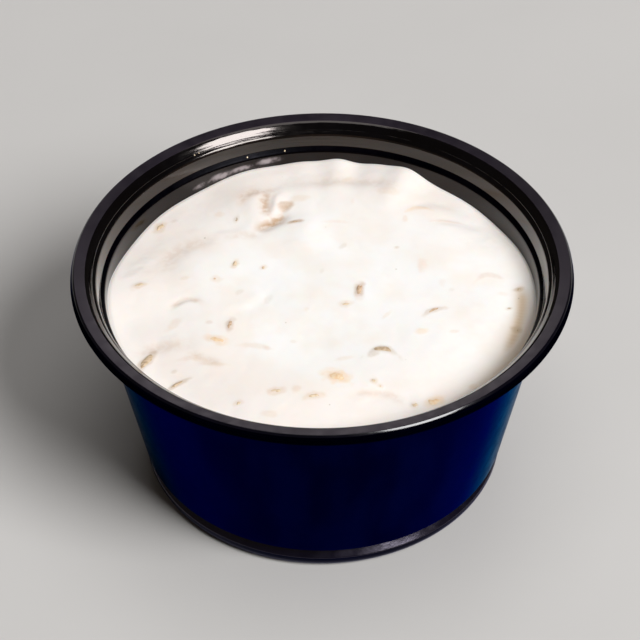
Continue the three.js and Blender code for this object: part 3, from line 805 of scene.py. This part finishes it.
def cup_materials():
    """One material for each finish of the cup's section."""
    rings = (0.12, 0.12, 3.0)  # stretches the grain into fine rings round the cup
    body = plastic(
        "navy_gloss",
        (0.0003, 0.0009, 0.009, 1),
        (0.0005, 0.0024, 0.02, 1),
        roughness=0.2,
        rough_spread=0.05,
        grain=2.5,
        bump=0.004,
        Metallic=0.6,
        Specular_IOR_Level=0.0,
        Specular_Tint=(0.0, 0.34, 0.8, 1),
    )
    skirt = plastic(
        "navy_dark_gloss",
        (0.0005, 0.0007, 0.006, 1),
        (0.0006, 0.001, 0.01, 1),
        roughness=0.16,
        rough_spread=0.04,
        grain=1.5,
        bump=0.003,
        Metallic=0.5,
        Specular_IOR_Level=0.15,
        Specular_Tint=(0.02, 0.08, 0.6, 1),
    )
    # A darker, duller copy of the navy plastic under the rim's lip: painted shade.
    dark = plastic(
        "rim_underside_painted_shade",
        (0.0003, 0.0004, 0.003, 1),
        (0.0004, 0.0006, 0.005, 1),
        roughness=0.2,
        rough_spread=0.04,
        grain=1.5,
        bump=0.003,
        Metallic=0.7,
        Specular_IOR_Level=0.0,
        Specular_Tint=(0.02, 0.06, 0.4, 1),
    )
    rim_edge = plastic(
        "rim_gloss",
        linear(2, 2, 9),
        linear(5, 4, 14),
        roughness=0.14,
        rough_spread=0.03,
        grain=1.5,
        bump=0.003,
        IOR=1.5,
    )
    rim_top = plastic(
        "rim_satin",
        linear(17, 13, 22),
        linear(24, 20, 29),
        roughness=0.34,
        rough_spread=0.06,
        grain=0.35,
        bump=0.004,
        Specular_IOR_Level=0.4,
        Specular_Tint=(1, 0.82, 0.93, 1),
    )
    inner = plastic(
        "black_gloss",
        linear(0, 0, 1),
        linear(2, 2, 4),
        roughness=0.1,
        rough_spread=0.03,
        grain=0.8,
        bump=0.035,
        stretch=rings,
        IOR=1.59,
        Specular_Tint=(1, 0.9, 0.86, 1),
    )
    ledge = plastic(
        "ledge_satin",
        linear(0, 0, 2),
        linear(3, 2, 5),
        roughness=0.3,
        rough_spread=0.08,
        grain=0.5,
        bump=0.006,
        Specular_IOR_Level=0.03,
        Specular_Tint=(0.85, 0.85, 1, 1),
    )
    wall = plastic(
        "wall_gloss",
        linear(2, 1, 1),
        linear(6, 4, 4),
        roughness=0.1,
        rough_spread=0.02,
        grain=0.8,
        bump=0.002,
        IOR=1.34,
        Specular_Tint=(1, 0.84, 0.8, 1),
        Coat_Weight=1.0,
        Coat_Roughness=0.05,
        Coat_IOR=1.22,
    )
    add_smears(wall)
    # The neck's brown base colour is painted reflection of the sauce in this black band.
    neck = plastic(
        "neck_gloss_painted_reflection",
        linear(16, 12, 10),
        linear(26, 19, 15),
        roughness=0.07,
        rough_spread=0.02,
        grain=1.0,
        bump=0.01,
        stretch=rings,
        IOR=1.5,
        Specular_Tint=(1, 0.86, 0.78, 1),
        Coat_Weight=1.0,
        Coat_Roughness=0.04,
        Coat_IOR=1.35,
    )
    foot = plastic(
        "foot_frosted",
        linear(0, 0, 10),
        linear(2, 1, 16),
        roughness=0.2,
        rough_spread=0.04,
        grain=0.22,
        bump=0.006,
        IOR=1.85,
        Specular_Tint=(0.85, 0.78, 1, 1),
    )
    under = plastic(
        "underside_satin",
        linear(3, 4, 22),
        linear(5, 7, 32),
        roughness=0.35,
        rough_spread=0.05,
        grain=0.8,
        bump=0.006,
        Specular_IOR_Level=0.4,
    )
    finishes = {
        "body": body,
        "skirt": skirt,
        "dark": dark,
        "rim_edge": rim_edge,
        "rim_top": rim_top,
        "lead_in": inner,
        "neck": neck,
        "ledge": ledge,
        "wall": wall,
        "foot": foot,
        "underside": under,
    }
    return {finish: made.material for finish, made in finishes.items()}


STAIN_COLOURS = {
    "tan": linear(222, 192, 156),
    "orange": linear(240, 202, 156),
    "olive": linear(188, 162, 128),
    "brown": linear(194, 160, 126),
    "peach": linear(240, 212, 192),
}
CREAM = linear(250, 247, 244)
CREAM_SHADE = linear(248, 240, 233)


def sauce_material():
    made = Material(
        "tartar_cream",
        Roughness=0.34,
        Subsurface_Weight=0.35,
        Subsurface_Radius=(1.0, 0.7, 0.5),
        Subsurface_Scale=0.5 * MM,
        Specular_IOR_Level=0.5,
    )
    colour = made.mix(made.remap(made.noise(7.0), 0.42, 0.68), CREAM, CREAM_SHADE)
    colour = made.mix(made.math("MULTIPLY", made.attribute("warm"), 0.65), colour, linear(244, 234, 227))
    # Painted shade, with some of the sauce's own brown tone: a tint in the strokes' folds and valleys.
    uneven = made.remap(made.noise(0.9, detail=4.0), 0.35, 0.6, 0.45, 1.0)
    hollow_tone_and_painted_shade = made.math("MULTIPLY", made.attribute("hollow_tone_and_painted_shade"), uneven)
    colour = made.mix(hollow_tone_and_painted_shade, colour, linear(202, 168, 136))
    # Painted shade: a brown tint where the right wall shades the sauce, with a tan oily strip in it.
    colour = made.mix(made.math("MULTIPLY", made.attribute("painted_shade_and_oil"), 0.8), colour, linear(204, 176, 138))
    ragged = made.remap(made.noise(0.5), 0.3, 0.6, 0.75, 1.0)
    for kind in STAIN_KINDS:
        stain = made.math("MULTIPLY", made.attribute("stain_" + kind), ragged)
        colour = made.mix(made.math("MULTIPLY", stain, 0.6), colour, STAIN_COLOURS[kind])
    grains = made.specks(2.3, 0.2)
    rare = made.remap(made.noise(3.1), 0.56, 0.62)
    faint = made.math("MULTIPLY", made.math("MULTIPLY", grains, rare), 0.45)
    colour = made.mix(faint, colour, linear(150, 132, 104))
    made.link(colour, "Base Color")
    made.bump(made.noise(0.7, detail=2.0), 0.012)
    return made.material


def bit_material(kind, core, skin, cover):
    """A chopped bit, with sauce over its low parts up to cover, a share of its height."""
    made = Material("bit_" + kind, Roughness=0.5, Specular_IOR_Level=0.3)
    colour = made.mix(made.remap(made.noise(0.35), 0.35, 0.65), core, skin)
    film = made.remap(made.attribute("bare"), 0.3 * cover, cover, 1.0, 0.12)
    made.link(made.mix(film, colour, CREAM_SHADE), "Base Color")
    made.bump(made.noise(0.25), 0.03)
    return made.material


BIT_COLOURS = {
    "tan": (linear(212, 182, 142), linear(232, 210, 178), 0.9),
    "orange": (linear(236, 196, 146), linear(243, 216, 180), 0.9),
    "olive": (linear(172, 142, 104), linear(206, 180, 146), 0.5),
    "brown": (linear(182, 144, 106), linear(220, 188, 154), 0.5),
}

# ---- Stage ----

LIGHT_AIM_HEIGHT = 20.0


def floor_material():
    made = Material("pale_floor", Roughness=0.75, Specular_IOR_Level=0.3)
    made.link(made.mix(made.noise(40.0), linear(196, 194, 192), linear(204, 202, 200)), "Base Color")
    return made.material


def add_floor():
    half = 900.0
    level = -0.02  # just under the cup's foot
    corners = [(-half, -half, level), (half, -half, level), (half, half, level), (-half, half, level)]
    floor = add_mesh("floor", corners, [(0, 1, 2, 3)], [floor_material()])


def add_softbox(name, shape, direction, distance, size, power):
    """A soft light, distance millimetres from the cup's middle, facing it."""
    light = bpy.data.lights.new(name, "AREA")
    light.shape = shape
    light.size, light.size_y = size[0] * MM, size[1] * MM
    light.energy = power
    lamp = bpy.data.objects.new(name, light)
    aim = Vector((0, 0, LIGHT_AIM_HEIGHT * MM))
    towards = Vector(direction).normalized()
    lamp.location = aim + towards * distance * MM
    lamp.rotation_mode = "QUATERNION"
    lamp.rotation_quaternion = towards.to_track_quat("Z", "Y")
    bpy.context.scene.collection.objects.link(lamp)


def add_lights():
    add_softbox("key", "ELLIPSE", (0.52, -0.48, 0.71), distance=1500.0, size=(760.0, 760.0), power=25.5)
    add_softbox("top", "ELLIPSE", (0.06, 0.04, 1.0), distance=1200.0, size=(900.0, 900.0), power=3.4)
    add_softbox("back", "RECTANGLE", (0.0, 0.88, 0.47), distance=900.0, size=(520.0, 230.0), power=0.7)
    world = bpy.data.worlds.new("studio")
    world.use_nodes = True
    world.node_tree.nodes["Background"].inputs["Color"].default_value = (0.05, 0.043, 0.037, 1)
    bpy.context.scene.world = world


def add_camera():
    """The camera at the photograph's viewing angle, in front of the cup and above it.

    Its angles, distance and offsets were solved for outside this script, from the rim, foot and sides.
    """
    elevation = math.radians(41.54)
    roll = math.radians(-0.40)
    distance = 309.69
    aside, above = 0.248, 7.006
    forward = Vector((0, math.cos(elevation), -math.sin(elevation)))
    level_right = Vector((1, 0, 0))
    level_up = Vector((0, math.sin(elevation), math.cos(elevation)))
    right = math.cos(roll) * level_right + math.sin(roll) * level_up
    up = -math.sin(roll) * level_right + math.cos(roll) * level_up
    place = (Vector((0, 0, RIM_HEIGHT)) - distance * forward - aside * right - above * up) * MM
    camera = bpy.data.cameras.new("camera")
    camera.lens = 140.625
    camera.sensor_width = 36.0
    camera.clip_start = 0.01
    viewer = bpy.data.objects.new("camera", camera)
    turn = Matrix((right, up, -forward)).transposed().to_4x4()
    viewer.matrix_world = Matrix.Translation(place) @ turn
    bpy.context.scene.collection.objects.link(viewer)
    bpy.context.scene.camera = viewer


# ---- Scene ----

bpy.context.scene.view_settings.view_transform = "Standard"

cup = lathe("cup_glossy", CUP_SECTION, cup_materials())
add_smear_strength(cup)
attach(cup, "root")
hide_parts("cup")

sauce = sauce_mesh(sauce_material())
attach(sauce, "root")
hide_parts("sauce")

for bit_kind, bit_look in BIT_COLOURS.items():
    bits = add_bits(bit_kind, bit_material(bit_kind, *bit_look))
    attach(bits, "root")

# The drops' pale colour partly stands in for their glints: painted highlight.
bead_gloss = plastic(
    "bead_gloss",
    linear(212, 192, 158),
    linear(232, 216, 190),
    roughness=0.12,
    rough_spread=0.02,
    grain=0.4,
    bump=0.002,
)
drops = add_beads("beads", BEADS, bead_gloss.material)
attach(drops, "root")

add_floor()
add_lights()
add_camera()
